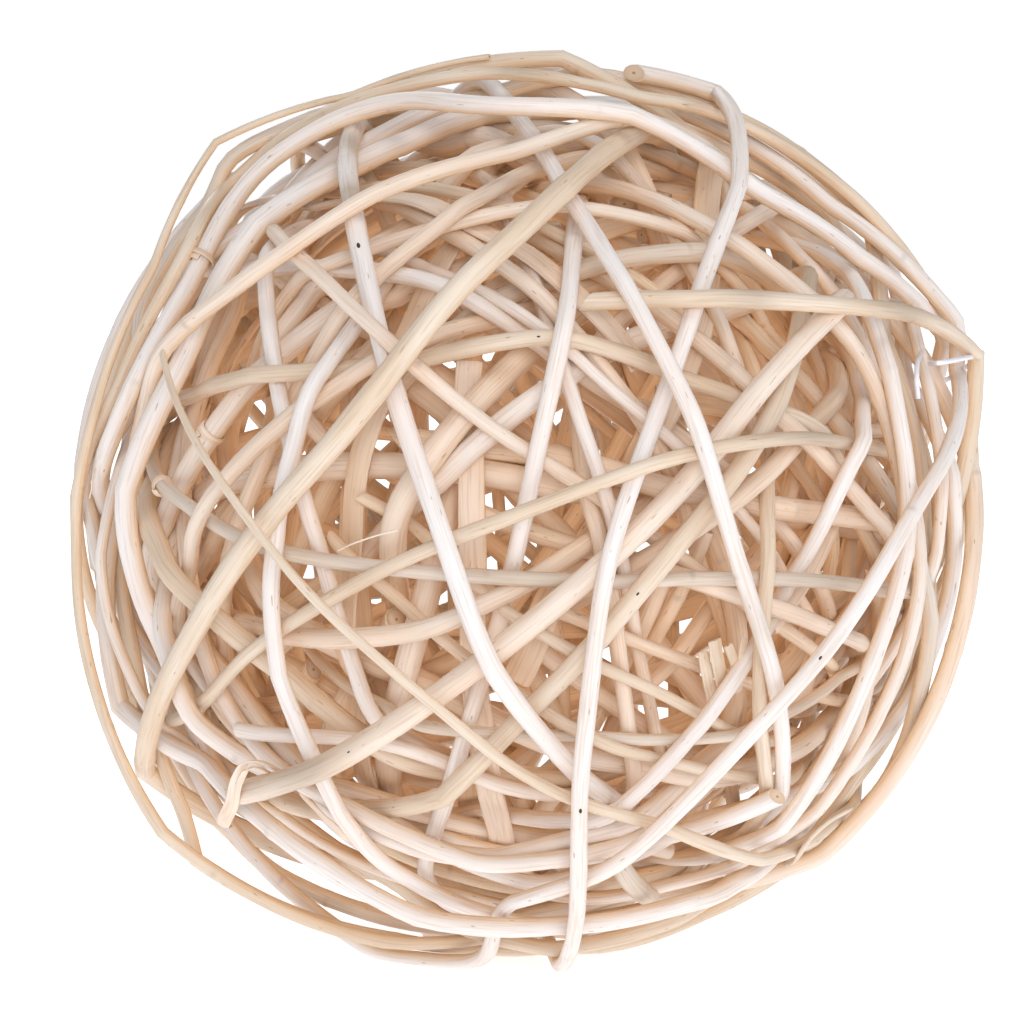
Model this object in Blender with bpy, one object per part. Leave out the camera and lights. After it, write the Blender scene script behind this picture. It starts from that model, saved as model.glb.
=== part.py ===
"""A decorative ball woven from peeled willow rods, with a wire tie.

Metres, +Z up. The origin is on the floor, under the middle of the ball.

Each rod is laid out as seen from the front and runs on round the hidden side. The rods are then
sprung apart, one over the other, until every crossing just clears, and each becomes its own tube.
"""

import math
import random

import bmesh
import bpy
import numpy as np
from mathutils import Matrix

# Driving sizes of the ball
BALL_RADIUS = 0.150
LAYER_DEPTH = 0.0078
REST_PRESS = 0.0050
REST_WEAR = 0.0007

# Rod diameters halfway along, and how much thicker the butt and thinner the tip is than that
BROAD = 0.0084
STOUT = 0.0071
FULL = 0.0062
MEDIUM = 0.0053
SLIM = 0.0045
FINE = 0.0037
TAPER = 0.08

# Gaps and facets
ROD_CLEARANCE = 0.0003
STATION_LENGTH = 0.0465
HIDDEN_STATION_LENGTH = 0.056
ROD_SIDES = 6

# The wire tie
WIRE_DIAMETER = 0.0016
WIRE_CLEARANCE = 0.0004
WIRE_SIDES = 4
TIE_TURNS = 1.25
TIE_TAIL = 0.014
TIED_ROD = "outer_right"
TIED_SHARE = 0.34

# The front view that the rods are laid out in: its middle and the ball's outline in pixels of a
# 1024 px frame, how far off the eye is, and how far it looks down
VIEW_MIDDLE = (529.0, 512.0)
VIEW_OUTLINE = 460.0
VIEW_DISTANCE = 1.0
VIEW_TILT = math.radians(10.0)
VIEW_FORWARD = np.array([0.0, math.cos(VIEW_TILT), -math.sin(VIEW_TILT)])
VIEW_UPWARD = np.array([0.0, math.sin(VIEW_TILT), math.cos(VIEW_TILT)])

# Rods laid out by eye. A point is (across, down, layer), with layer 0 outermost, and "kink" where the
# rod is cracked over. The last two numbers are the degrees that it runs on past its first and last point.
SEEN_RODS = {
    "long_diagonal": (STOUT, [(655, 135, 2), (571, 191, 1), (456, 301, 0.5), (335, 456, 1), (267, 532, 1.5),
                              (188, 660, 1), (147, 778, 0.5, "kink"), (225, 842, 2)], 111, 124),
    "upright_bow": (FULL, [(361, 132, 2), (357, 215, 1.5), (363, 305, 1.5), (399, 410, 1.5), (449, 560, 0.8),
                           (504, 690, 0.8), (562, 775, 1.5)], 111, 111),
    "top_hoop": (FULL, [(101, 495, 1), (136, 406, 1), (189, 294, 1.2), (290, 165, 1), (354, 124, 0.8),
                        (500, 113, 0.3), (633, 122, 0.3, "kink"), (743, 178, 0.8), (893, 273, 0.5),
                        (940, 330, 1.2)], 99, 99),
    "outer_hoop": (SLIM, [(88, 500, 0.5), (104, 406, 0.4), (158, 305, 0.3), (207, 214, 0.3), (239, 172, 0.3),
                          (381, 101, 0.2), (491, 78, 0.2), (628, 87, 0.2), (709, 110, 1), (801, 163, 0.3),
                          (870, 227, 0.3), (945, 318, 0.8)], 86, 86),
    "crook": (MEDIUM, [(634, 73, 0), (718, 94, 0, "kink"), (741, 182, 0, "kink"), (672, 370, 1), (631, 502, 1.2),
                       (599, 617, 0.3), (583, 780, 0), (563, 968, 0.3)], 0, 118),
    "steep_right": (MEDIUM, [(483, 90, 2), (573, 204, 1.6), (640, 305, 0.2), (709, 459, 0), (750, 594, 0.2),
                             (787, 798, 1, "kink"), (776, 836, 1.5)], 99, 99),
    "level_right": (MEDIUM, [(582, 301, 1.5), (651, 301, 1.2), (732, 299, 0.2), (824, 303, 0), (893, 310, 0),
                             (974, 350, 0, "kink"), (982, 415, 1)], 0, 124),
    "slender_upright": (MEDIUM, [(579, 222, 2.2), (564, 328, 1.2), (530, 479, 2), (491, 628, 2.5),
                                 (440, 778, 2.5), (412, 872, 1.8)], 105, 82),
    "rising_right": (SLIM, [(143, 723, 2), (198, 686, 2), (336, 589, 1.6), (514, 516, 1), (651, 465, 0.8),
                            (732, 440, 0.8), (881, 443, 2)], 105, 111),
    "tapered_sweep": (SLIM, [(840, 812, 1), (768, 866, 0, "kink"), (651, 824, 1), (571, 796, 1), (404, 681, 0),
                             (262, 539, 0), (163, 353, 0.3)], 111, 0),
    "bright_sweep": (MEDIUM, [(964, 338, 1), (968, 372, 0.5, "kink"), (915, 514, 0), (847, 624, 0), (709, 778, 0),
                              (647, 848, 0), (514, 899, 1), (417, 948, 0.5), (303, 927, 2)], 99, 111),
    "loose_left": (SLIM, [(340, 908, 0.6), (244, 876, 0), (167, 838, 0, "kink"), (152, 801, 0), (101, 709, 0),
                          (80, 590, 0), (79, 500, 0), (101, 390, 0), (152, 271, 0), (216, 142, 0, "kink"),
                          (313, 115, 0), (495, 56, 0)], 124, 0),
    "crown_peak": (MEDIUM, [(400, 92, 1.5), (454, 72, 0.8), (565, 51, 0, "kink"), (617, 90, 0.8),
                            (700, 135, 2)], 124, 128),
    "bright_left": (STOUT, [(404, 142, 2), (347, 165, 1.5), (257, 223, 1, "kink"), (170, 371, 1),
                            (129, 490, 0.8, "kink"), (140, 600, 0.8), (156, 674, 1.2), (207, 782, 1.5)], 111, 124),
    "left_slant": (SLIM, [(258, 230, 1.3), (345, 303, 1.2), (422, 369, 2), (525, 454, 2), (617, 514, 2.6)], 0, 124),
    "upper_rise": (MEDIUM, [(165, 355, 0.8), (267, 269, 0.3), (399, 191, 0.6), (537, 149, 1),
                            (628, 131, 1.3)], 80, 128),
    "upper_level": (MEDIUM, [(150, 410, 2.5), (244, 365, 1.8), (347, 331, 2.2), (468, 331, 1.6), (555, 333, 2),
                             (746, 397, 2.5), (815, 427, 2), (898, 520, 2)], 105, 99),
    "left_bow": (MEDIUM, [(352, 300, 2.2), (331, 330, 1.2), (290, 468, 1.4), (278, 560, 2), (279, 683, 1.2, "kink"),
                          (319, 778, 0.8), (412, 890, 0.8)], 99, 111),
    "cross_level": (SLIM, [(140, 486, 1.2), (185, 526, 1.2), (336, 562, 2.2), (422, 578, 2.6), (560, 581, 2.4),
                           (688, 587, 2), (801, 585, 1.2), (905, 576, 1.8)], 99, 105),
    "low_slant": (STOUT, [(140, 500, 2), (150, 555, 1.5), (172, 578, 1.4), (285, 672, 2.6), (418, 748, 2.8),
                          (560, 790, 3)], 124, 105),
    "long_rise": (STOUT, [(251, 783, 0.8), (336, 759, 0.5), (422, 707, 1), (583, 578, 1.6), (704, 470, 1.4),
                          (766, 383, 1), (830, 315, 1.4)], 0, 128),
    "second_rise": (FULL, [(358, 817, 2.2), (445, 797, 1.6, "kink"), (495, 746, 2), (587, 654, 1.6),
                           (711, 500, 1.6), (769, 420, 2), (798, 330, 2.2), (810, 232, 2.4)], 124, 118),
    "right_rise": (MEDIUM, [(600, 800, 2), (686, 746, 1.2), (755, 658, 1.6), (824, 548, 1.6), (858, 452, 1.6),
                            (885, 380, 2)], 118, 124),
    "shoulder_slant": (MEDIUM, [(600, 152, 2.2), (709, 218, 1.6), (836, 305, 1.6), (870, 375, 1.2),
                                (909, 502, 1.4)], 118, 124),
    "right_bow": (MEDIUM, [(858, 268, 1.4), (893, 376, 0.8), (920, 470, 0.5), (893, 610, 0.6), (858, 704, 0.5),
                           (787, 831, 0.3, "kink"), (764, 853, 0.8)], 105, 124),
    "lower_hoop": (FULL, [(99, 532, 0.8), (104, 620, 0.6), (115, 712, 0.4, "kink"), (143, 743, 0.4), (221, 801, 0.4),
                          (336, 872, 0.3), (418, 906, 0.4), (537, 924, 0.6), (709, 880, 1), (762, 848, 2)], 80, 105),
    "base_hoop": (SLIM, [(159, 832, 0), (177, 861, 0, "kink"), (313, 918, 0), (410, 948, 0.2), (514, 971, 0),
                         (650, 945, 0.3)], 92, 124),
    "outer_right": (FULL, [(930, 318, 1.5), (962, 352, 1), (973, 456, 0.3), (976, 520, 0), (968, 590, 0),
                           (930, 712, 0), (870, 800, 0.4), (820, 838, 1)], 105, 105),
    "inner_right": (MEDIUM, [(930, 350, 2), (951, 500, 1), (946, 594, 1.4), (900, 720, 1.2), (850, 790, 1)], 118, 118),
    "bent_right": (MEDIUM, [(905, 480, 1.8), (946, 628, 0.3, "kink"), (911, 720, 0.6), (880, 765, 1)], 111, 128),
    "outer_shoulder": (MEDIUM, [(745, 145, 2), (801, 161, 1.2), (883, 213, 0, "kink"), (897, 250, 0.3),
                                (922, 330, 1.8)], 128, 124),
    "deep_slant": (BROAD, [(560, 318, 3.5), (491, 403, 3), (459, 449, 3), (428, 525, 3)], 111, 118),
    "deep_level": (BROAD, [(215, 492, 3.2), (330, 463, 3), (400, 465, 3.2), (590, 484, 3.4)], 111, 111),
    "deep_upright": (BROAD, [(436, 502, 3.6), (406, 605, 3.2), (380, 770, 3)], 105, 128),
    "brow_level": (FULL, [(479, 299, 2.8), (521, 266, 2.4), (569, 259, 2.4), (688, 243, 2.4), (801, 262, 2.6)], 111, 124),
    "brow_rise": (MEDIUM, [(345, 312, 1.8), (410, 250, 1.6), (456, 214, 1.8), (560, 150, 2.4)], 105, 128),
    "crown_slip": (SLIM, [(365, 162, 2.4), (440, 178, 2.4), (537, 209, 2.6), (640, 262, 3)], 124, 105),
    "crown_slant": (MEDIUM, [(365, 172, 2.6), (422, 205, 2.4), (491, 260, 2.2), (555, 318, 2.4), (640, 430, 3)], 118, 99),
    "brow_fall": (MEDIUM, [(268, 255, 2.6), (400, 266, 2.4), (468, 292, 2.4), (560, 340, 3)], 118, 105),
    "brow_bend": (SLIM, [(300, 282, 2.4), (385, 248, 2.2), (459, 222, 2), (525, 214, 2.2), (600, 206, 2.6),
                         (688, 228, 2.8)], 105, 111),
    "low_level": (STOUT, [(590, 792, 2.4), (640, 802, 2), (720, 799, 2), (790, 775, 2.4)], 111, 128),
    "tipped_bright": (MEDIUM, [(775, 794, 0.8), (732, 817, 1), (640, 862, 1.6), (560, 868, 2)], 0, 128),
    "stub": (FULL, [(655, 917, 0.8), (620, 855, 1.3), (588, 795, 2.8)], 0, 128),
    "thin_level": (FINE, [(420, 735, 2.6), (461, 746, 2.4), (560, 748, 2.2), (658, 746, 2), (735, 738, 2)], 111, 124),
    "left_stub": (SLIM, [(243, 724, 1.8), (347, 738, 2), (430, 756, 2.6), (560, 800, 2.6)], 0, 128),
    "right_upright": (SLIM, [(790, 400, 2.6), (784, 500, 1.8), (777, 570, 1.6), (769, 690, 1.2), (765, 800, 1.5)], 111, 124),
    "left_upright": (MEDIUM, [(268, 262, 1.8), (272, 345, 1.8), (285, 420, 2), (330, 600, 2.6), (376, 712, 2.8)], 111, 99),
    "cheek_rise": (FULL, [(660, 545, 2.8), (735, 495, 2), (775, 470, 1.8), (830, 432, 1.8), (862, 395, 2)], 99, 128),
    "lower_inner_hoop": (MEDIUM, [(172, 640, 1.8), (196, 692, 1.8), (232, 738, 1.8), (290, 772, 2),
                                  (420, 838, 1.4), (540, 842, 1.6), (620, 822, 2.4)], 118, 105),
}

# How many layers a rod goes down where others hide it
TUCK_UNDER = 1.6

# Rods of the hidden side. Each takes the roomiest of several tries
HIDDEN_RODS = 10
HIDDEN_TRIES = 40
CROWDED_WITHIN = 0.045
HIDDEN_LENGTH = 0.70
HIDDEN_SIZES = (FULL, MEDIUM, STOUT, MEDIUM, SLIM)
HIDDEN_SEED = 11
DEEPEST_LAYER = 4.0

# How the rods are sprung apart: rounds of it, how firmly each is held where it was laid, how much the
# outermost give way, how far a rod rises off its layer, and what they settle beyond their clearance
SPRING_ROUNDS = 420
SETTLE_ROUNDS = 3000
HOLD = 0.20
HOLD_STEEPNESS = 4
OUTER_EASE = 0.2
STIFFNESS = 0.30
NEAR_MARGIN = 0.012
RISE_ROOM = 0.008
RESTING_DEPTH = 0.018
RESTING_WEIGHT = 0.003
SETTLE_SLACK = 0.00003

WOOD_COLOUR = (0.84, 0.67, 0.50, 1.0)
WIRE_COLOUR = (0.80, 0.80, 0.88, 1.0)


def clear_scene():
    for thing in list(bpy.data.objects):
        bpy.data.objects.remove(thing)


def plain_material(name, colour, roughness):
    material = bpy.data.materials.new(name)
    material.use_nodes = True
    shader = material.node_tree.nodes["Principled BSDF"]
    shader.inputs["Base Color"].default_value = colour
    shader.inputs["Roughness"].default_value = roughness
    return material


def place_on_ball(across, down, layer, rod_radius):
    """The point of a layer's sphere that the front view shows there, from the ball's centre. A point
    past the outline is taken where the line of sight passes nearest to the centre."""
    focal = VIEW_OUTLINE * math.sqrt(VIEW_DISTANCE**2 - BALL_RADIUS**2) / BALL_RADIUS
    sight = VIEW_FORWARD - VIEW_UPWARD * (down - VIEW_MIDDLE[1]) / focal
    sight[0] += (across - VIEW_MIDDLE[0]) / focal
    sight /= np.linalg.norm(sight)
    eye = -VIEW_FORWARD * VIEW_DISTANCE
    nearest = -eye @ sight
    off_axis = np.linalg.norm(eye + sight * nearest)
    sphere = BALL_RADIUS - rod_radius - layer * LAYER_DEPTH
    reach = math.sqrt(max(sphere**2 - off_axis**2, 0.0))
    return eye + sight * (nearest - reach)


def smooth_through(points, fineness=12):
    """Points along a smooth curve through the given ones, which bulges with the ball."""
    points = [np.asarray(p) for p in points]
    padded = [2 * points[0] - points[1], *points, 2 * points[-1] - points[-2]]
    curve = []
    for before, start, end, after in zip(padded, padded[1:], padded[2:], padded[3:]):
        span = np.linalg.norm(end - start)
        leave = (end - before) / (np.linalg.norm(end - start) + np.linalg.norm(start - before)) * span
        arrive = (after - start) / (np.linalg.norm(after - end) + span) * span
        radii = np.linalg.norm(start), np.linalg.norm(end)
        for step in range(fineness):
            t = step / fineness
            point = ((2 * t**3 - 3 * t**2 + 1) * start + (t**3 - 2 * t**2 + t) * leave
                     + (3 * t**2 - 2 * t**3) * end + (t**3 - t**2) * arrive)
            curve.append(point / np.linalg.norm(point) * (radii[0] + (radii[1] - radii[0]) * t))
    return curve + [points[-1]]


def run_on(last, before, degrees, layer, rod_radius):
    """Points that carry a rod on round the ball from its last one. It stays under the rods in front of
    it until it is round the side, and then eases to another layer."""
    if degrees <= 0:
        return []
    outward = last / np.linalg.norm(last)
    along = last - before
    along -= outward * (along @ outward)
    along /= np.linalg.norm(along)
    seen_layer = (BALL_RADIUS - rod_radius - np.linalg.norm(last)) / LAYER_DEPTH
    steps = max(2, round(degrees / 12))
    points = []
    for step in range(1, steps + 1):
        turn = math.radians(degrees) * step / steps
        direction = outward * math.cos(turn) + along * math.sin(turn)
        facing = min(max(-direction @ VIEW_FORWARD / 0.3, 0.0), 1.0)
        wanted = layer + (seen_layer + TUCK_UNDER - layer) * facing
        depth = seen_layer + (wanted - seen_layer) * min(1.0, step / 2)
        points.append(direction * (BALL_RADIUS - rod_radius - depth * LAYER_DEPTH))
    return points


def stations_along(curve, step):
    """The curve cut into equal lengths of about the given step."""
    curve = np.array(curve)
    lengths = np.concatenate([[0.0], np.cumsum(np.linalg.norm(np.diff(curve, axis=0), axis=1))])
    count = max(1, round(lengths[-1] / step))
    wanted = np.linspace(0.0, lengths[-1], count + 1)
    return np.stack([np.interp(wanted, lengths, curve[:, k]) for k in range(3)], axis=1)


def curve_between(places, cuts, kinks):
    """One smooth curve between each two cuts, which turns sharply only at a kink."""
    fineness = 12
    ends = [0, *kinks, len(places) - 1]
    whole = []
    for a, b in zip(ends, ends[1:]):
        whole += smooth_through(places[a:b + 1], fineness)[:-1]
    whole.append(places[-1])
    return [whole[a * fineness:b * fineness + 1] for a, b in zip(cuts, cuts[1:])]


def seen_route(diameter, points, on_at_start, on_at_end, chance):
    """Stations of a rod that is laid out by eye, from its thick end to its tip."""
    radius = diameter / 2
    places = [place_on_ball(*p[:3], radius) for p in points]
    kinks = [n for n, p in enumerate(points) if "kink" in p]
    start = run_on(places[0], places[1], on_at_start, chance.uniform(0.3, 2.6), radius)
    end = run_on(places[-1], places[-2], on_at_end, chance.uniform(0.3, 2.6), radius)
    seen_start, seen_end = len(start), len(start) + len(places) - 1
    places = start[::-1] + places + end
    cuts = sorted({0, seen_start, *[n + seen_start for n in kinks], seen_end, len(places) - 1})
    curves = curve_between(places, cuts, [n + seen_start for n in kinks])
    pieces = []
    for first, curve in zip(cuts, curves):
        seen = seen_start <= first < seen_end
        pieces.append(stations_along(curve, STATION_LENGTH if seen else HIDDEN_STATION_LENGTH))
    return np.concatenate([pieces[0], *[piece[1:] for piece in pieces[1:]]])


def hidden_route(diameter, chance):
    """Stations of one possible rod of the hidden side, which dips under the others in front."""
    middle = np.array([chance.gauss(0, 1), abs(chance.gauss(0, 1)) + 0.4, chance.gauss(0, 1)])
    middle /= np.linalg.norm(middle)
    side = np.cross(middle, [0.0, 0.0, 1.0])
    side /= np.linalg.norm(side)
    lean = chance.uniform(0, math.pi)
    along = side * math.cos(lean) + np.cross(middle, side) * math.sin(lean)
    sweep = HIDDEN_LENGTH / BALL_RADIUS
    layer = chance.uniform(0.2, 2.5)
    curve = []
    for turn in np.linspace(-sweep / 2, sweep / 2, 40):
        direction = middle * math.cos(turn) + along * math.sin(turn)
        frontness = min(max(0.2 - direction[1], 0.0), 0.8) / 0.8
        depth = layer + (DEEPEST_LAYER - layer) * frontness
        curve.append(direction * (BALL_RADIUS - diameter / 2 - depth * LAYER_DEPTH))
    return stations_along(curve, HIDDEN_STATION_LENGTH)


def crowding(route, laid):
    """How many stations of the rods laid so far lie near a route, for each of its own."""
    apart = np.linalg.norm(route[:, None] - laid[None], axis=2)
    return (apart < CROWDED_WITHIN).sum() / len(route)


def lay_out_rods():
    """Every rod's name, stations from the ball's centre, and radius at each station."""
    chance = random.Random(HIDDEN_SEED)
    rods = []
    for name, (diameter, points, on_at_start, on_at_end) in SEEN_RODS.items():
        rods.append((name, diameter, seen_route(diameter, points, on_at_start, on_at_end, chance)))
    for index in range(HIDDEN_RODS):
        diameter = HIDDEN_SIZES[index % len(HIDDEN_SIZES)]
        laid = np.concatenate([stations for _, _, stations in rods])
        tries = [hidden_route(diameter, chance) for _ in range(HIDDEN_TRIES)]
        rods.append((f"back_rod_{index + 1}", diameter, min(tries, key=lambda route: crowding(route, laid))))
    return [(name, stations, np.linspace(1 + TAPER, 1 - TAPER, len(stations)) * diameter / 2)
            for name, diameter, stations in rods]


def nearest_on_pair(p0, p1, q0, q1):
    """For pairs of segments, how far along each the nearest points lie, and the vector between them."""
    u, v, w = p1 - p0, q1 - q0, p0 - q0
    a, b, c = (u * u).sum(1), (u * v).sum(1), (v * v).sum(1)
    d, e = (u * w).sum(1), (v * w).sum(1)
    across = np.maximum(a * c - b * b, 1e-14)
    s = np.clip((b * e - c * d) / across, 0.0, 1.0)
    t = np.clip((b * s + e) / c, 0.0, 1.0)
    s = np.clip((b * t - d) / a, 0.0, 1.0)
    return s, t, w + u * s[:, None] - v * t[:, None]


class Weave:
    """The rods as chains of stations that push one another apart."""

    def __init__(self, rods):
        self.rods = rods
        self.points = np.concatenate([stations for _, stations, _ in rods])
        self.radii = np.concatenate([radii for _, _, radii in rods])
        self.laid = self.points.copy()
        laid_out = np.linalg.norm(self.laid, axis=1)
        self.outer = np.maximum(laid_out, np.minimum(laid_out + RISE_ROOM, BALL_RADIUS - self.radii))
        depth = (BALL_RADIUS - self.radii - laid_out) / LAYER_DEPTH
        self.ease = np.clip(OUTER_EASE + (1 - OUTER_EASE) * depth / 2, OUTER_EASE, 1.0)
        counts = [len(stations) for _, stations, _ in rods]
        self.firsts = np.concatenate([[0], np.cumsum(counts)])
        self.start = np.concatenate([np.arange(a, b - 1) for a, b in zip(self.firsts, self.firsts[1:])])
        self.rod_of = np.repeat(np.arange(len(rods)), [n - 1 for n in counts])
        self.room = np.maximum(self.radii[self.start], self.radii[self.start + 1])
        self.pairs = None
        self.keep_room_for_tie()

    def tied_stretch(self):
        """The first station of the straight stretch that the wire is tied round."""
        index = [name for name, _, _ in self.rods].index(TIED_ROD)
        first, after = self.firsts[index], self.firsts[index + 1]
        return first + int(TIED_SHARE * (after - first - 1))

    def keep_room_for_tie(self):
        self.room[self.start == self.tied_stretch()] += WIRE_DIAMETER + 2 * WIRE_CLEARANCE

    def find_pairs(self, margin):
        middles = (self.points[self.start] + self.points[self.start + 1]) / 2
        halves = np.linalg.norm(self.points[self.start + 1] - self.points[self.start], axis=1) / 2
        apart = np.linalg.norm(middles[:, None] - middles[None], axis=2)
        near = apart < halves[:, None] + halves[None] + self.room[:, None] + self.room[None] + margin
        first, second = np.nonzero(np.triu(near, 1))
        own = (self.rod_of[first] == self.rod_of[second]) & (self.start[second] - self.start[first] < 3)
        self.pairs = first[~own], second[~own]

    def shortfalls(self):
        first, second = self.pairs
        a, b = self.start[first], self.start[second]
        s, t, gap = nearest_on_pair(self.points[a], self.points[a + 1], self.points[b], self.points[b + 1])
        distance = np.linalg.norm(gap, axis=1)
        return a, b, s, t, gap, distance, self.room[first] + self.room[second] + ROD_CLEARANCE - distance

    def push_apart(self, slack):
        """Moves each pair that is too close apart, along the line between their nearest points."""
        a, b, s, t, gap, distance, short = self.shortfalls()
        close = short > -slack
        a, b, s, t, gap, distance, short = (x[close] for x in (a, b, s, t, gap, distance, short))
        outward = self.points[a] / np.linalg.norm(self.points[a], axis=1)[:, None]
        line = np.where(distance[:, None] > 1e-5, gap / np.maximum(distance, 1e-5)[:, None], outward)
        ease = self.ease
        weight = ease[a] * (1 - s)**2 + ease[a + 1] * s**2 + ease[b] * (1 - t)**2 + ease[b + 1] * t**2
        push = line * ((short + slack) / weight)[:, None]
        moves = np.zeros_like(self.points)
        shares = np.zeros(len(self.points))
        for station, share in ((a, 1 - s), (a + 1, s), (b, t - 1), (b + 1, -t)):
            np.add.at(moves, station, push * (share * ease[station])[:, None])
            np.add.at(shares, station, np.abs(share))
        self.points += moves / np.maximum(shares, 1.0)[:, None] * 1.4

    def keep_inside(self, floor):
        """Keeps the rods under the ball's outside and above the floor, and rounds their places to ten
        nanometres, so that every computer weaves the same ball."""
        distance = np.linalg.norm(self.points, axis=1)
        self.points *= np.minimum(1.0, self.outer / distance)[:, None]
        low = floor + self.radii * math.cos(math.pi / ROD_SIDES) - REST_WEAR
        self.points[:, 2] = np.maximum(self.points[:, 2], low)
        self.points = np.round(self.points, 8)

    def ease_back(self, hold, stiffness):
        """Draws the rods sideways towards where they were laid and evens out their bends."""
        outward = self.laid / np.linalg.norm(self.laid, axis=1)[:, None]
        shift = self.points - self.laid
        rise = outward * (shift * outward).sum(axis=1)[:, None]
        shift = rise + (shift - rise) * (1 - hold)
        eased = shift.copy()
        for a, b in zip(self.firsts, self.firsts[1:]):
            inner = slice(a + 1, b - 1)
            eased[inner] += stiffness * ((shift[a:b - 2] + shift[a + 2:b]) / 2 - shift[inner])
        self.points = self.laid + eased

    def spring(self, floor):
        for turn in range(SPRING_ROUNDS):
            if turn % 10 == 0:
                self.find_pairs(NEAR_MARGIN)
            fade = min(1.0, HOLD_STEEPNESS * (1 - turn / SPRING_ROUNDS))
            self.ease_back(HOLD * fade, STIFFNESS * fade)
            self.points[self.points[:, 2] < floor + RESTING_DEPTH, 2] -= RESTING_WEIGHT
            self.push_apart(0.0)
            self.keep_inside(floor)
        for turn in range(SETTLE_ROUNDS):
            if turn % 10 == 0:
                self.find_pairs(NEAR_MARGIN)
                if turn and self.shortfalls()[-1].max() < 0:
                    return
            self.push_apart(SETTLE_SLACK)
            self.keep_inside(floor)
        raise ValueError(f"rods still too close by {self.shortfalls()[-1].max() * 1000:.2f} mm")

    def chains(self):
        return [(name, self.points[a:b], radii)
                for (name, _, radii), a, b in zip(self.rods, self.firsts, self.firsts[1:])]


def tube(name, points, radii, sides, material, collection):
    """A round rod along the points: a poly curve with a bevel, made a mesh with welded caps."""
    curve = bpy.data.curves.new(name, "CURVE")
    curve.dimensions = "3D"
    curve.twist_mode = "MINIMUM"
    curve.bevel_depth = float(max(radii))
    curve.bevel_resolution = (sides - 4) // 2
    curve.use_fill_caps = True
    spline = curve.splines.new("POLY")
    spline.points.add(len(points) - 1)
    for control, point, radius in zip(spline.points, points, radii):
        control.co = (*(float(x) for x in point), 1.0)
        control.radius = float(radius / max(radii))
    guide = bpy.data.objects.new(name, curve)
    collection.objects.link(guide)
    bpy.context.view_layer.update()
    mesh = bpy.data.meshes.new_from_object(guide.evaluated_get(bpy.context.evaluated_depsgraph_get()))
    bpy.data.objects.remove(guide)
    weld = bmesh.new()
    weld.from_mesh(mesh)
    bmesh.ops.remove_doubles(weld, verts=weld.verts, dist=0.00001)
    weld.to_mesh(mesh)
    weld.free()
    mesh.name = name
    mesh.materials.clear()
    mesh.materials.append(material)
    mesh.shade_smooth()
    mesh.set_sharp_from_angle(angle=math.radians(50))
    rod = bpy.data.objects.new(name, mesh)
    collection.objects.link(rod)
    return rod


def cut_flat(rod, floor):
    """Takes off what reaches below the floor and closes the rod with a flat there."""
    body = bmesh.new()
    body.from_mesh(rod.data)
    if min(vert.co.z for vert in body.verts) < floor:
        everything = [*body.verts, *body.edges, *body.faces]
        cut = bmesh.ops.bisect_plane(body, geom=everything, dist=0.00001, plane_co=(0, 0, floor),
                                     plane_no=(0, 0, -1), clear_outer=True)
        rim = [part for part in cut["geom_cut"] if isinstance(part, bmesh.types.BMEdge)]
        bmesh.ops.holes_fill(body, edges=rim, sides=0)
        bmesh.ops.recalc_face_normals(body, faces=body.faces)
        body.to_mesh(rod.data)
    body.free()


def tie_path(weave):
    """The wire's centreline: round the tied rod, then a tail that lies along it."""
    first = weave.tied_stretch()
    start, end = weave.points[first], weave.points[first + 1]
    along = (end - start) / np.linalg.norm(end - start)
    outward = start / np.linalg.norm(start)
    outward = outward - along * (outward @ along)
    outward /= np.linalg.norm(outward)
    aside = np.cross(along, outward)
    ring = weave.radii[first] + WIRE_CLEARANCE + WIRE_DIAMETER / 2
    pitch = WIRE_DIAMETER + WIRE_CLEARANCE
    middle = (start + end) / 2 - along * TIE_TAIL / 2
    path = []
    for step in range(round(TIE_TURNS * 12) + 1):
        turn = math.tau * step / 12
        path.append(middle + along * pitch * step / 12 + (outward * math.cos(turn) + aside * math.sin(turn)) * ring)
    turn += math.tau / 24
    tail = (outward * math.cos(turn) + aside * math.sin(turn)) * ring
    lead = pitch * TIE_TURNS
    path.append(middle + along * (lead + WIRE_DIAMETER) + tail)
    path.append(middle + along * (lead + TIE_TAIL) + tail)
    return path


def main():
    clear_scene()
    wood = plain_material("peeled_willow", WOOD_COLOUR, 0.55)
    coating = plain_material("white_wire_coating", WIRE_COLOUR, 0.35)
    ball = bpy.data.collections.new("willow_ball")
    bpy.context.scene.collection.children.link(ball)

    weave = Weave(lay_out_rods())
    floor = REST_PRESS - BALL_RADIUS
    weave.spring(floor)
    pieces = []
    for name, points, radii in weave.chains():
        rod = tube(name, points, radii, ROD_SIDES, wood, ball)
        cut_flat(rod, floor)
        pieces.append(rod)
    path = tie_path(weave)
    pieces.append(tube("tie_wire", path, [WIRE_DIAMETER / 2] * len(path), WIRE_SIDES, coating, ball))

    # The origin goes on the floor under the middle of the whole ball
    corners = np.array([vert.co for piece in pieces for vert in piece.data.vertices])
    middle = (corners.min(axis=0) + corners.max(axis=0)) / 2
    for piece in pieces:
        piece.data.transform(Matrix.Translation((-middle[0], -middle[1], -floor)))


main()
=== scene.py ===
"""Looks for a decorative ball woven from peeled willow rods: round tapering rods with kinks, knots and
cut ends, the further rods and split strips of its inside and back, wound and loose strips, bud scars,
loose fibres and the wire tie."""

import math
import random

import bmesh
import bpy
import numpy as np
from mathutils import Matrix, Vector, kdtree


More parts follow.
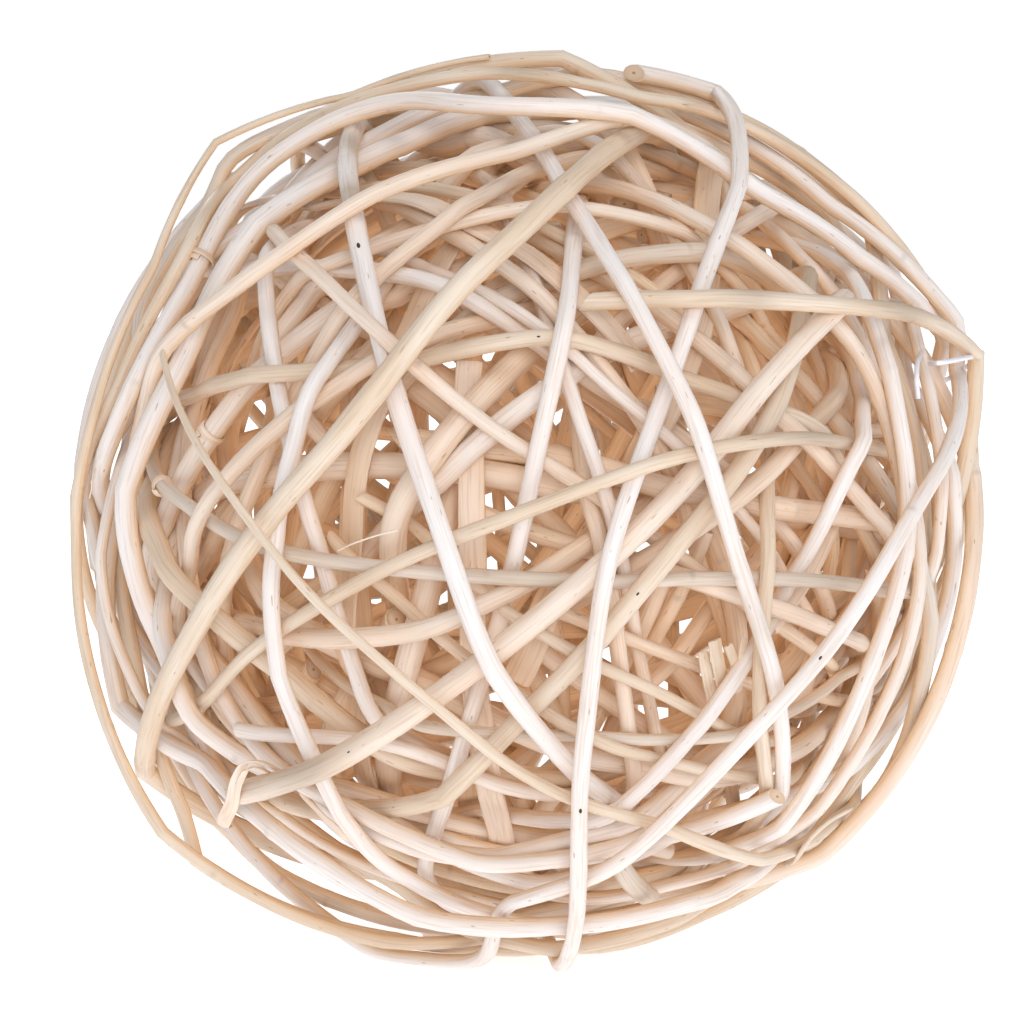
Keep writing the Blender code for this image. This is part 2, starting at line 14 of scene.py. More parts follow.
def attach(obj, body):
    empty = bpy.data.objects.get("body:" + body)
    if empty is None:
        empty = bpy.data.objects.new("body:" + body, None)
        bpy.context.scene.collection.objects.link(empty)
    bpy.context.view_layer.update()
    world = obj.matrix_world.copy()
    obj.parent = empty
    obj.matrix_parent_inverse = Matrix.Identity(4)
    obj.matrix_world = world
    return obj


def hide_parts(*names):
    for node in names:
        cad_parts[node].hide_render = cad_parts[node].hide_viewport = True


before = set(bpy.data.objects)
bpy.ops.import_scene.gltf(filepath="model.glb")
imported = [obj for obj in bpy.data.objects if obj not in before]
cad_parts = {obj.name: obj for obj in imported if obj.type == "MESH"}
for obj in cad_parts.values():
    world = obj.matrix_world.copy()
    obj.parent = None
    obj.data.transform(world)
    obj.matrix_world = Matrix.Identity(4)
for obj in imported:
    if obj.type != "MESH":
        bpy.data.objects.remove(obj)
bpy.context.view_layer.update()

# The ball, as the solids have it
BALL_RADIUS = 0.150
BALL_MIDDLE = np.array([0.0005, -0.0017, 0.145])
LAYER_DEPTH = 0.0078

# The front view of the photograph: the ball's middle and outline in its pixels, how far off the eye
# is, how far it looks down, and the picture's width
VIEW_MIDDLE = (529.0, 512.0)
VIEW_OUTLINE = 460.0
VIEW_DISTANCE = 1.0
VIEW_TILT = math.radians(10.0)
VIEW_WIDTH = 1024
VIEW_FOCAL = VIEW_OUTLINE * math.sqrt(VIEW_DISTANCE**2 - BALL_RADIUS**2) / BALL_RADIUS
VIEW_FORWARD = np.array([0.0, math.cos(VIEW_TILT), -math.sin(VIEW_TILT)])
VIEW_UPWARD = np.array([0.0, math.sin(VIEW_TILT), math.cos(VIEW_TILT)])

# Pixels that count against a point which the ball's front half hides from the front view
HIDDEN_PENALTY = 1000

# Rod diameters halfway along, and how much thicker the butt and thinner the tip is than that
BROAD = 0.0084
STOUT = 0.0071
FULL = 0.0062
MEDIUM = 0.0053
SLIM = 0.0045
FINE = 0.0037
TAPER = 0.08

# Rods that taper away towards their tip, and how much of their thickness the tip keeps
TAPERING_RODS = {"tapered_sweep": 0.5, "loose_left": 0.5, "base_hoop": 0.6}

# Where the photograph's rods are cracked over, as (across, down), how many pixels off a kink may lie,
# and how far behind the ball's middle
KINKS = {
    "long_diagonal": [(147, 778)],
    "top_hoop": [(633, 122)],
    "crook": [(718, 94), (741, 182)],
    "steep_right": [(787, 798)],
    "level_right": [(974, 350)],
    "tapered_sweep": [(768, 866)],
    "bright_sweep": [(968, 372)],
    "loose_left": [(167, 838), (216, 142)],
    "crown_peak": [(565, 51)],
    "bright_left": [(257, 223), (129, 490)],
    "left_bow": [(279, 683)],
    "second_rise": [(445, 797)],
    "right_bow": [(787, 831)],
    "lower_hoop": [(115, 712)],
    "base_hoop": [(177, 861)],
    "outer_shoulder": [(883, 213)],
    "bent_right": [(946, 628)],
}
KINK_WITHIN = 45
KINK_BEHIND = 0.03

# Rods that the photograph shows cut off at the lower edge, and how much shorter they are than their solid
CUT_SHORT = {"crook": 0.016}

# Further rods that the photograph shows, read as (across, down, layer), and the degrees that each runs
# on past its first and last point
FURTHER_RODS = {
    "low_right_hoop": (MEDIUM, [(800, 800, 2.5), (747, 870, 1.5), (680, 917, 0.9), (560, 945, 1)], 60, 60),
    "right_slip": (SLIM, [(913, 580, 1.4), (897, 663, 1), (873, 720, 0.8), (813, 810, 0.8)], 70, 60),
    "grey_shoulder": (MEDIUM, [(320, 115, 1.2), (239, 150, 1), (217, 200, 1.3), (150, 300, 1.4)], 60, 70),
    "left_edge": (MEDIUM, [(188, 284, 1.2), (134, 402, 0.9), (94, 495, 0.7), (100, 560, 1)], 60, 60),
    "shaded_fall": (MEDIUM, [(395, 345, 2.6), (300, 405, 1.9), (215, 497, 1.8), (178, 600, 2.4)], 50, 60),
    "left_inner": (STOUT, [(240, 390, 2.8), (200, 440, 2.6), (165, 500, 2.4)], 50, 60),
    "inner_fall": (STOUT, [(560, 372, 3), (510, 405, 3.1), (470, 440, 3.3)], 40, 50),
    "cheek_fall": (MEDIUM, [(740, 380, 2.6), (773, 408, 2), (863, 497, 1.8), (900, 540, 2)], 50, 60),
    "middle_drop": (SLIM, [(560, 345, 2.4), (580, 407, 2.2), (603, 477, 2.4)], 50, 50),
    "middle_fall": (FINE, [(573, 352, 2), (607, 383, 2.2), (690, 452, 2.6)], 40, 40),
    "low_band": (FULL, [(330, 800, 2), (380, 829, 1.8), (493, 852, 1.5), (580, 830, 2.2)], 50, 60),
    "left_low_curve": (FULL, [(190, 680, 1.6), (214, 718, 1.6), (290, 775, 2.2)], 60, 60),
    "right_fibrous": (SLIM, [(900, 320, 1.8), (917, 365, 1.3), (940, 480, 1.1), (935, 560, 1.3)], 60, 60),
    "right_inner_level": (STOUT, [(733, 490, 2.8), (790, 505, 2.8), (890, 520, 3)], 50, 50),
    "left_thin": (FINE, [(105, 560, 1), (115, 618, 1), (153, 698, 1.3)], 60, 60),
    "steep_middle": (MEDIUM, [(618, 600, 2.8), (628, 700, 2.6), (632, 790, 2.6)], 40, 30),
    "fine_fall": (FINE, [(590, 660, 2.2), (660, 695, 2.3), (740, 738, 2.4)], 40, 40),
    "second_fine_fall": (FINE, [(560, 715, 2.2), (640, 745, 2.4), (745, 775, 2.2), (790, 785, 2.4)],
                         40, 40),
    "cheek_level": (MEDIUM, [(740, 600, 2.6), (800, 618, 2.3), (858, 640, 2.3)], 40, 50),
    "inner_band": (FULL, [(280, 645, 3.0), (350, 640, 2.4), (440, 625, 2.4), (560, 560, 3)], 40, 40),
}

# Rods and split strips of the inside and the hidden side. Each takes the roomiest of several tries:
# the one with the fewest places where a rod laid before is within the crowding distance
INNER_RODS = 50
INNER_SIZES = (MEDIUM, FULL, SLIM, STOUT, MEDIUM, SLIM, FULL, BROAD, SLIM)
INNER_LENGTHS = (0.40, 0.70)
INNER_TRIES = 14
CROWDED_WITHIN = 0.014
INNER_SEED = 5
FRONT_INNER_LAYERS = (3.0, 5.6)
BACK_LAYERS = (0.4, 5.0)
TUCK_UNDER = 1.6
STRIP_THICKNESS = 0.27

# Which of the photograph's rods are nearly white, tan or greyed. The others are pale or cream
WHITE_RODS = ("bright_sweep", "bright_left", "tipped_bright", "slender_upright", "upright_bow",
              "left_bow", "steep_right", "right_rise", "top_hoop", "lower_hoop", "inner_fall",
              "brow_fall", "left_upright")
TAN_RODS = ("long_diagonal", "level_right", "rising_right", "outer_shoulder", "second_rise",
            "upper_level", "outer_hoop", "tapered_sweep", "loose_left", "base_hoop",
            "right_upright", "crown_slip", "crown_peak")
GREYED_RODS = ("cross_level", "thin_level", "bent_right", "stub", "brow_level", "grey_shoulder")

# Places on the photograph's rods that are stained grey, as (across, down, reach along the rod)
STAINS = {
    "second_rise": [(812, 290, 0.022)],
    "rising_right": [(800, 432, 0.020)],
    "level_right": [(905, 312, 0.016), (745, 300, 0.008)],
    "long_diagonal": [(645, 150, 0.016)],
    "upright_bow": [(361, 150, 0.010), (358, 205, 0.006)],
    "outer_shoulder": [(870, 205, 0.030)],
    "outer_hoop": [(505, 80, 0.008)],
    "tipped_bright": [(640, 850, 0.010)],
    "cross_level": [(825, 582, 0.016)],
    "long_rise": [(300, 775, 0.020)],
}

# Small dark bud scars on the photograph's rods, as (across, down, length)
SCARS = {
    "upright_bow": [(354, 252, 0.0022)],
    "long_rise": [(361, 743, 0.0009)],
    "crook": [(583, 799, 0.0018)],
    "upper_level": [(526, 332, 0.0010)],
    "top_hoop": [(570, 116, 0.0014)],
    "bright_sweep": [(818, 662, 0.0014)],
    "second_rise": [(640, 606, 0.0012)],
}

# Split willow that lies loose or torn in the weave, and loose fibres, as (diameter, [(across, down,
# layer)...]). A strip is about twice as wide as its diameter
LOOSE_STRIPS = {
    "curl_strip": (0.0016, [(290, 776, 1.8), (264, 763, 0.4), (245, 763, -0.2), (235, 779, -0.3),
                            (229, 806, -0.1), (226, 824, 1.4)]),
    "second_curl_strip": (0.0010, [(284, 779, 1.8), (262, 769, 0.3), (249, 769, -0.3), (240, 784, -0.3),
                                   (234, 808, 0.0), (231, 826, 1.4)]),
    "lean_strip": (0.0018, [(300, 792, 2.0), (325, 818, 1.2), (345, 838, 0.9), (362, 846, 1.8)]),
    "torn_strip": (0.0030, [(846, 811, 0.6), (830, 821, 0.3), (808, 842, 0.3), (788, 860, 1.0)]),
    "frayed_strip_1": (0.0020, [(703, 652, 2.8), (707, 672, 2.5), (714, 704, 2.9)]),
    "frayed_strip_2": (0.0028, [(715, 640, 2.6), (719, 662, 2.4), (727, 694, 2.8)]),
    "frayed_strip_3": (0.0016, [(727, 646, 2.5), (734, 664, 2.5), (738, 692, 2.9)]),
    "frayed_strip_4": (0.0014, [(745, 637, 2.6), (742, 655, 2.4), (737, 682, 2.8)]),
}
FIBRES = {
    "loose_fibre": (0.0005, [(338, 551, 1.5), (352, 545, 0.5), (376, 537, 0.2), (399, 531, 0.1)]),
    "short_fibre": (0.0005, [(95, 470, 0.2), (91, 482, -0.3), (90, 498, 0.0)]),
}

# Split willow wound round one rod, as (across, down, turns), the angle that it starts at, and how many
# pixels off the rod may lie
WRAPS = {
    "high_wrap_strip": (203, 270, 1.3),
    "low_wrap_strip": (208, 418, 1.2),
    "left_wrap_strip": (158, 482, 1.1),
}
WRAP_DIAMETER = 0.0012
WRAP_PITCH = 0.0022
WRAP_START = 0.6
WRAP_WITHIN = 14

# The wire tie: its thickness, and its route over the right edge's rods, back past the tied rod where its
# solid is, and down the tail inside
WIRE_DIAMETER = 0.0016
WIRE_ROUTE = [(930, 363, 0.6), (938, 363, -0.1), (955, 360, -0.5), (972, 357, -0.5), (984, 352, -0.2),
              (980, 356, 1.0), (962, 370, 1.5), (942, 382, 1.6), (929, 384, 1.7), (922, 370, 1.9),
              (921, 350, 1.4), (919, 358, 0.9), (917, 376, 0.7), (918, 399, 0.9)]

# Reading a solid: corners this near are one, corners lower than this lie on the floor, and an edge
# longer than this doesn't belong to a ring
SAME_CORNER = 0.000005
FLOOR_CUT = 0.00001
LONGEST_RING_EDGE = 0.011

# How finely rods and strips are followed, and how far apart a rod's rings lie
FINE_STEP = 0.008
LAID_STEP = 0.001
RING_STEP = 0.0045

# How the rods are sprung apart: the rounds, how often and how far off near pairs are looked for, how
# many stretches apart two of one rod must be to count as a pair, how strongly the first rounds hold a
# rod to its place, the gap left between rods, and how readily each sort of rod gives way. A deep press
# is only counted and printed
SPRING_ROUNDS = 130
SETTLE_ROUNDS = 60
ROUNDS_PER_SEARCH = 15
SEARCH_REACH = 0.0165
OWN_STRETCHES = 6
HOLD = 0.06
TOUCH_GAP = 0.00005
SOLID_GIVE, FURTHER_GIVE, INNER_GIVE = 0.15, 0.6, 1.0
DEEP_PRESS = 0.0003

# A rod's cross-section, its knife-cut ends with the length that other rings keep clear of them, and
# its knots
ROD_SIDES = 12
SHARP_EDGE = math.radians(36)
END_EDGE = 0.0004
END_ROOM = 0.0015
KNOT_LENGTH = 0.0015
KNOT_RINGS = (-0.0015, -0.0005, 0.0, 0.0005, 0.0014)
KNOT_SPACING = (0.035, 0.10)

# How deep under the ball's outside a rod starts to look browner with painted shade, standing in for the
# warm shade inside the weave, and over what depth it gets there
PAINTED_SHADE_FROM = 0.018
PAINTED_SHADE_OVER = 0.026

# Colours that the willow's ground turns to where it is stained, where painted shade browns it towards the
# ball's inside, and where it is flecked or scarred
STAIN_COLOUR = (0.50, 0.40, 0.31, 1)
# Painted shade: the warm brown that the ball's inside and the rods' inward faces are tinted towards
PAINTED_SHADE_COLOUR = (0.93, 0.67, 0.43, 1)
FLECK_COLOUR = (0.36, 0.20, 0.10, 1)
SCAR_COLOUR = (0.09, 0.055, 0.035, 1)
OFF_TO_ON = ((0, 0, 0, 1), (1, 1, 1, 1))

# The room's light, the backdrop, the floor's own glow, and the power and size of the ball's inside lamp
ROOM_LIGHT = 0.38
BACKDROP_BRIGHTNESS = 1.0
FLOOR_GLOW = 0.68
INSIDE_FILL_POWER = 0.08
INSIDE_FILL_SIZE = 0.04


# Following the solids

def ring_links(body):
    """The rings of a rod's solid as sets of corners, and which rings lie next to each other."""
    ring_of = {}
    rings = []
    for corner in body.verts:
        if corner in ring_of or corner.co.z < FLOOR_CUT:
            continue
        ring, waiting = [], [corner]
        ring_of[corner] = len(rings)
        while waiting:
            here = waiting.pop()
            ring.append(here)
            for edge in here.link_edges:
                other = edge.other_vert(here)
                in_ring = edge.calc_length() < LONGEST_RING_EDGE and other.co.z > FLOOR_CUT
                if in_ring and other not in ring_of:
                    ring_of[other] = len(rings)
                    waiting.append(other)
        rings.append(ring)
    links = [set() for _ in rings]
    for edge in body.edges:
        a, b = (ring_of.get(vert) for vert in edge.verts)
        if a is not None and b is not None and a != b:
            links[a].add(b)
            links[b].add(a)
    return rings, links


def ring_middle(ring):
    """The middle of the circle through a ring's corners, also where the floor took some off."""
    corners = np.array([corner.co for corner in ring])
    if len(corners) == 6:
        return corners.mean(axis=0)
    spread = corners - corners[0]
    normal = np.linalg.svd(spread)[2][-1]
    rows = np.vstack([spread[1:], normal * 0.01])
    halves = (corners[1:]**2).sum(axis=1) / 2 - (corners[0]**2).sum() / 2
    ends = np.append(halves, normal @ corners[0] * 0.01)
    return np.linalg.lstsq(rows, ends, rcond=None)[0]


def solid_route(node):
    """A rod's stations and radii, read from its solid, from its thick end to its tip."""
    body = bmesh.new()
    body.from_mesh(node.data)
    bmesh.ops.remove_doubles(body, verts=body.verts, dist=SAME_CORNER)
    rings, links = ring_links(body)
    order = [min(n for n, near in enumerate(links) if len(near) == 1)]
    while len(order) < len(rings):
        order.append(next(n for n in sorted(links[order[-1]]) if n not in order))
    middles = np.array([ring_middle(rings[n]) for n in order])
    radii = np.array([np.mean([np.linalg.norm(np.array(corner.co) - middle) for corner in rings[n]])
                      for n, middle in zip(order, middles)])
    body.free()
    if radii[0] < radii[-1]:
        middles, radii = middles[::-1], radii[::-1]
    return middles, radii


# Laying out the rods

def place_on_ball(across, down, layer, rod_radius):
    """The point of a layer's sphere that the front view shows there, from the ball's middle."""
    sight = VIEW_FORWARD - VIEW_UPWARD * (down - VIEW_MIDDLE[1]) / VIEW_FOCAL
    sight[0] += (across - VIEW_MIDDLE[0]) / VIEW_FOCAL
    sight /= np.linalg.norm(sight)
    eye = -VIEW_FORWARD * VIEW_DISTANCE
    nearest = -eye @ sight
    off_axis = np.linalg.norm(eye + sight * nearest)
    sphere = BALL_RADIUS - rod_radius - layer * LAYER_DEPTH
    return eye + sight * (nearest - math.sqrt(max(sphere**2 - off_axis**2, 0.0)))


def seen_at(points):
    """Where the front view shows points that are given from the ball's middle, and how near they are."""
    off_eye = points + VIEW_FORWARD * VIEW_DISTANCE
    far = off_eye @ VIEW_FORWARD
    across = VIEW_MIDDLE[0] + VIEW_FOCAL * off_eye[:, 0] / far
    down = VIEW_MIDDLE[1] - VIEW_FOCAL * (off_eye @ VIEW_UPWARD) / far
    return np.stack([across, down], axis=1), far


def nearest_seen(points, across, down):
    """Which of a route's points the front view shows nearest to a pixel, leaving out those behind the
    ball's middle, how many pixels off each point is, and how far from the eye each is."""
    seen, far = seen_at(points)
    off = np.linalg.norm(seen - (across, down), axis=1)
    return int(np.argmin(off + np.where(far > VIEW_DISTANCE, HIDDEN_PENALTY, 0))), off, far


def smooth_through(points, fineness):
    """Points along a smooth curve through the given ones, which bulges with the ball."""
    points = [np.asarray(point) for point in points]
    padded = [2 * points[0] - points[1], *points, 2 * points[-1] - points[-2]]
    curve = []
    for before, start, end, after in zip(padded, padded[1:], padded[2:], padded[3:]):
        span = np.linalg.norm(end - start)
        leave = (end - before) / (span + np.linalg.norm(start - before)) * span
        arrive = (after - start) / (np.linalg.norm(after - end) + span) * span
        low, high = np.linalg.norm(start), np.linalg.norm(end)
        for step in range(fineness):
            t = step / fineness
            point = ((2 * t**3 - 3 * t**2 + 1) * start + (t**3 - 2 * t**2 + t) * leave
                     + (3 * t**2 - 2 * t**3) * end + (t**3 - t**2) * arrive)
            curve.append(point / np.linalg.norm(point) * (low + (high - low) * t))
    return curve + [points[-1]]


def lengths_along(points):
    return np.concatenate([[0.0], np.cumsum(np.linalg.norm(np.diff(points, axis=0), axis=1))])


def evenly(curve, step):
    """The curve's points at equal lengths of about the given step."""
    curve = np.array(curve)
    lengths = lengths_along(curve)
    wanted = np.linspace(0.0, lengths[-1], max(1, round(lengths[-1] / step)) + 1)
    return np.stack([np.interp(wanted, lengths, curve[:, k]) for k in range(3)], axis=1)


def tapered(diameter, count, tip=1.0):
    """Radii along a rod, from its butt to its tip, which may taper away further."""
    share = np.linspace(0, 1, count)
    return diameter / 2 * (1 + TAPER - 2 * TAPER * share) * (1 - (1 - tip) * np.clip(share * 2 - 1, 0, 1))


def follow_solid(name):
    """A rod's fine route from the ball's middle, which turns sharply only where the rod is kinked."""
    stations, radii = solid_route(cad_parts[name])
    stations = stations - BALL_MIDDLE
    seen, far = seen_at(stations)
    kinks = []
    for place in KINKS.get(name, []):
        off = np.linalg.norm(seen - place, axis=1)
        off += np.where(far > VIEW_DISTANCE + KINK_BEHIND, HIDDEN_PENALTY, 0)
        nearest = int(np.argmin(off))
        if off[nearest] < KINK_WITHIN and 0 < nearest < len(stations) - 1:
            kinks.append(nearest)
    cuts = sorted({0, *kinks, len(stations) - 1})
    pieces = [evenly(smooth_through(stations[a:b + 1], 12), FINE_STEP) for a, b in zip(cuts, cuts[1:])]
    route = np.concatenate([pieces[0], *[piece[1:] for piece in pieces[1:]]])
    at_kinks = np.cumsum([len(piece) - 1 for piece in pieces])[:-1]
    if name in CUT_SHORT:
        off = round(CUT_SHORT[name] / FINE_STEP)
        if route[0][2] < route[-1][2]:
            route, at_kinks = route[off:], at_kinks - off
        else:
            route = route[:-off]
    radii = tapered(2 * radii[0] / (1 + TAPER), len(route), TAPERING_RODS.get(name, 1.0))
    return route, radii, [int(n) for n in at_kinks]


def run_on(last, before, degrees, layer, rod_radius):
    """Points that carry a rod on round the ball from its last one. It stays under the rods in front of
    it until it is round the side, and then eases to another layer."""
    outward = last / np.linalg.norm(last)
    along = last - before
    along -= outward * (along @ outward)
    along /= np.linalg.norm(along)
    seen_layer = (BALL_RADIUS - rod_radius - np.linalg.norm(last)) / LAYER_DEPTH
    steps = round(degrees / 12)
    points = []
    for step in range(1, steps + 1):
        turn = math.radians(degrees) * step / steps
        direction = outward * math.cos(turn) + along * math.sin(turn)
        facing = min(max(-direction @ VIEW_FORWARD / 0.3, 0.0), 1.0)
        wanted = layer + (seen_layer + TUCK_UNDER - layer) * facing
        depth = seen_layer + (wanted - seen_layer) * min(1.0, step / 2)
        points.append(direction * (BALL_RADIUS - rod_radius - depth * LAYER_DEPTH))
    return points


def further_route(diameter, points, on_at_start, on_at_end, chance):
    radius = diameter / 2
    places = [place_on_ball(*point, radius) for point in points]
    start = run_on(places[0], places[1], on_at_start, chance.uniform(1.5, 4.0), radius)
    end = run_on(places[-1], places[-2], on_at_end, chance.uniform(1.5, 4.0), radius)
    return evenly(smooth_through(start[::-1] + places + end, 12), FINE_STEP)


def inner_route(diameter, chance):
    """One possible rod of the inside or the back: a part of a ring about the ball, at a random lean."""
    middle = Vector((chance.gauss(0, 1), chance.gauss(0.25, 1), chance.gauss(0, 1))).normalized()
    aside = middle.cross(Vector((chance.gauss(0, 1), chance.gauss(0, 1), chance.gauss(0, 1)))).normalized()
    sweep = chance.uniform(*INNER_LENGTHS) / BALL_RADIUS
    front = chance.uniform(*FRONT_INNER_LAYERS)
    back = chance.uniform(*BACK_LAYERS)
    waver = chance.uniform(-0.12, 0.12)
    curve = []
    for turn in np.linspace(-sweep / 2, sweep / 2, 60):
        direction = middle * math.cos(turn) + aside * math.sin(turn)
        direction += middle.cross(aside) * waver * math.cos(turn * 1.7)
        direction.normalize()
        frontness = min(max(0.35 - direction.y, 0.0), 0.5) / 0.5
        layer = back + (max(front, back) - back) * frontness
        curve.append(np.array(direction) * (BALL_RADIUS - diameter / 2 - layer * LAYER_DEPTH))
    return evenly(curve, FINE_STEP)


def laid_by_eye(diameter, places):
    """The points and radii of a strip, fibre or wire that lies where it was laid."""
    places = [place_on_ball(*place, diameter / 2) for place in places]
    points = evenly(smooth_through(places, 12), LAID_STEP)
    return points, np.full(len(points), diameter / 2)


def wrapped_round(rods, across, down, turns):
    """A strip's points and radii round the nearest rod that the front view shows there, and the rod's
    middle there. The rods are given as (points, radii)."""
    best = None
    for points, radii in rods:
        n, off, far = nearest_seen(points, across, down)
        if 1 < n < len(points) - 2 and off[n] < WRAP_WITHIN and (best is None or far[n] < best[0]):
            best = far[n], points[n], points[n + 1] - points[n - 1], radii[n]
    _, middle, along, radius = best
    along = along / np.linalg.norm(along)
    aside = np.cross(along, middle)
    aside /= np.linalg.norm(aside)
    outward = np.cross(aside, along)
    turn = np.linspace(WRAP_START, WRAP_START + turns * math.tau, 40)[:, None]
    reach = radius + WRAP_DIAMETER * 0.35
    around = (aside * np.cos(turn) + outward * np.sin(turn)) * reach
    points = middle + along * WRAP_PITCH * turn / math.tau + around
    return points, np.full(len(points), WRAP_DIAMETER / 2), middle


def lay_out_rods():
    """Every rod as (name, fine route from the ball's middle, radii, kinks, give)."""
    rods = []
    for name in sorted(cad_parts):
        if name != "tie_wire":
            rods.append((name, *follow_solid(name), SOLID_GIVE))
    chance = random.Random(INNER_SEED)
    for name, (diameter, points, on_at_start, on_at_end) in FURTHER_RODS.items():
        route = further_route(diameter, points, on_at_start, on_at_end, chance)
        rods.append((name, route, tapered(diameter, len(route)), [], FURTHER_GIVE))
    laid = np.concatenate([route for _, route, *_ in rods])
    for index in range(INNER_RODS):
        diameter = INNER_SIZES[index % len(INNER_SIZES)]
        tries = [inner_route(diameter, chance) for _ in range(INNER_TRIES)]
        crowding = []
        for route in tries:
            apart = np.linalg.norm(route[::3, None] - laid[None], axis=2)
            crowding.append((apart < CROWDED_WITHIN).sum() / len(route))
        route = tries[int(np.argmin(crowding))]
        laid = np.concatenate([laid, route])
        kind = "inner_strip" if diameter == SLIM else "inner_rod"
        rods.append((f"{kind}_{index + 1}", route, tapered(diameter, len(route)), [], INNER_GIVE))
    return rods


# Springing the rods apart

def nearest_on_pair(p0, p1, q0, q1):
    """For pairs of segments, how far along each the nearest points lie, and the vector between them."""
    u, v, w = p1 - p0, q1 - q0, p0 - q0
    a, b, c = (u * u).sum(1), (u * v).sum(1), (v * v).sum(1)
    d, e = (u * w).sum(1), (v * w).sum(1)
    s = np.clip((b * e - c * d) / np.maximum(a * c - b * b, 1e-16), 0.0, 1.0)
    t = np.clip((b * s + e) / c, 0.0, 1.0)
    s = np.clip((b * t - d) / a, 0.0, 1.0)
    return s, t, w + u * s[:, None] - v * t[:, None]


class Weave:
    """The rods as chains of fine points that push one another apart."""

    def __init__(self, rods):
        self.rods = rods
        self.points = np.concatenate([route for _, route, *_ in rods])
        self.laid = self.points.copy()
        self.radii = np.concatenate([radii for _, _, radii, *_ in rods])
        counts = [len(route) for _, route, *_ in rods]
        self.give = np.repeat([give for *_, give in rods], counts)
        self.outer = np.maximum(np.linalg.norm(self.laid, axis=1), BALL_RADIUS - self.radii)
        self.firsts = np.concatenate([[0], np.cumsum(counts)])
        self.start = np.concatenate([np.arange(a, b - 1) for a, b in zip(self.firsts, self.firsts[1:])])
        self.rod_of = np.repeat(np.arange(len(rods)), [n - 1 for n in counts])
        self.inner = np.ones(len(self.points), bool)
        self.inner[self.firsts[:-1]] = False
        self.inner[self.firsts[1:] - 1] = False

    def find_pairs(self):
        middles = (self.points[self.start] + self.points[self.start + 1]) / 2
        tree = kdtree.KDTree(len(middles))
        for index, middle in enumerate(middles):
            tree.insert(middle, index)
        tree.balance()
        first, second = [], []
        for index, middle in enumerate(middles):
            near = [other for _, other, _ in tree.find_range(middle, SEARCH_REACH) if other > index]
            first += [index] * len(near)
            second += near
        first, second = np.array(first), np.array(second)
        own = (self.rod_of[first] == self.rod_of[second]) & (second - first < OWN_STRETCHES)
        self.pairs = first[~own], second[~own]

    def shortfalls(self):
        first, second = self.pairs
        a, b = self.start[first], self.start[second]
        s, t, gap = nearest_on_pair(self.points[a], self.points[a + 1], self.points[b], self.points[b + 1])
        distance = np.linalg.norm(gap, axis=1)
        room = self.radii[a] + self.radii[b] + TOUCH_GAP
        return a, b, s, t, gap, distance, room - distance

    def push_apart(self):
        a, b, s, t, gap, distance, short = self.shortfalls()
        close = short > 0
        a, b, s, t, gap, distance, short = (x[close] for x in (a, b, s, t, gap, distance, short))
        line = gap / np.maximum(distance, 1e-6)[:, None]
        give = self.give
        weight = give[a] * (1 - s)**2 + give[a + 1] * s**2 + give[b] * (1 - t)**2 + give[b + 1] * t**2
        push = line * (short / np.maximum(weight, 0.05))[:, None]
        moves = np.zeros_like(self.points)
        shares = np.zeros(len(self.points))
        for station, share in ((a, 1 - s), (a + 1, s), (b, t - 1), (b + 1, -t)):
            np.add.at(moves, station, push * (share * give[station])[:, None])
            np.add.at(shares, station, np.abs(share))
        self.points += moves / np.maximum(shares, 1.0)[:, None] * 1.3

    def ease_back(self, hold, passes):
        """Draws the rods towards where they were laid and spreads each push along its rod."""
        shift = (self.points - self.laid) * (1 - hold * (1.05 - self.give))[:, None]
        for _ in range(passes):
            even = shift.copy()
            even[1:-1] = shift[1:-1] / 2 + (shift[:-2] + shift[2:]) / 4
            shift = np.where(self.inner[:, None], even, shift)
        self.points = self.laid + shift

    def keep_inside(self):
        distance = np.linalg.norm(self.points, axis=1)
        self.points *= np.minimum(1.0, self.outer / distance)[:, None]
        low = self.radii * 0.8 - BALL_MIDDLE[2]
        self.points[:, 2] = np.maximum(self.points[:, 2], low)

    def spring(self):
        for turn in range(SPRING_ROUNDS + SETTLE_ROUNDS):
            if turn % ROUNDS_PER_SEARCH == 0:
                self.find_pairs()
            settling = turn >= SPRING_ROUNDS
            self.ease_back(0.0 if settling else HOLD, 1 if settling else 2)
            self.push_apart()
            self.keep_inside()
        short = self.shortfalls()[-1]
        print("deepest press of rod into rod, mm:", round(float(short.max()) * 1000, 2),
              "over 0.3 mm:", int((short > DEEP_PRESS).sum()), "of", len(short))

    def chains(self):
        for (name, _, _, kinks, _), a, b in zip(self.rods, self.firsts, self.firsts[1:]):
            yield name, self.points[a:b], self.radii[a:b], kinks


# Making a rod

def spline_at(points, lengths, at):
    """Catmull-Rom point and direction at a length along the route."""
    n = int(np.clip(np.searchsorted(lengths, at) - 1, 0, len(points) - 2))
    t = (at - lengths[n]) / (lengths[n + 1] - lengths[n])
    p1, p2 = points[n], points[n + 1]
    p0 = points[n - 1] if n > 0 else 2 * p1 - p2
    p3 = points[n + 2] if n + 2 < len(points) else 2 * p2 - p1
    bend, turn = 2 * p0 - 5 * p1 + 4 * p2 - p3, 3 * p1 - p0 - 3 * p2 + p3
    place = 0.5 * (2 * p1 + (p2 - p0) * t + bend * t**2 + turn * t**3)
    along = 0.5 * ((p2 - p0) + 2 * bend * t + 3 * turn * t**2)
    return place, along / np.linalg.norm(along)


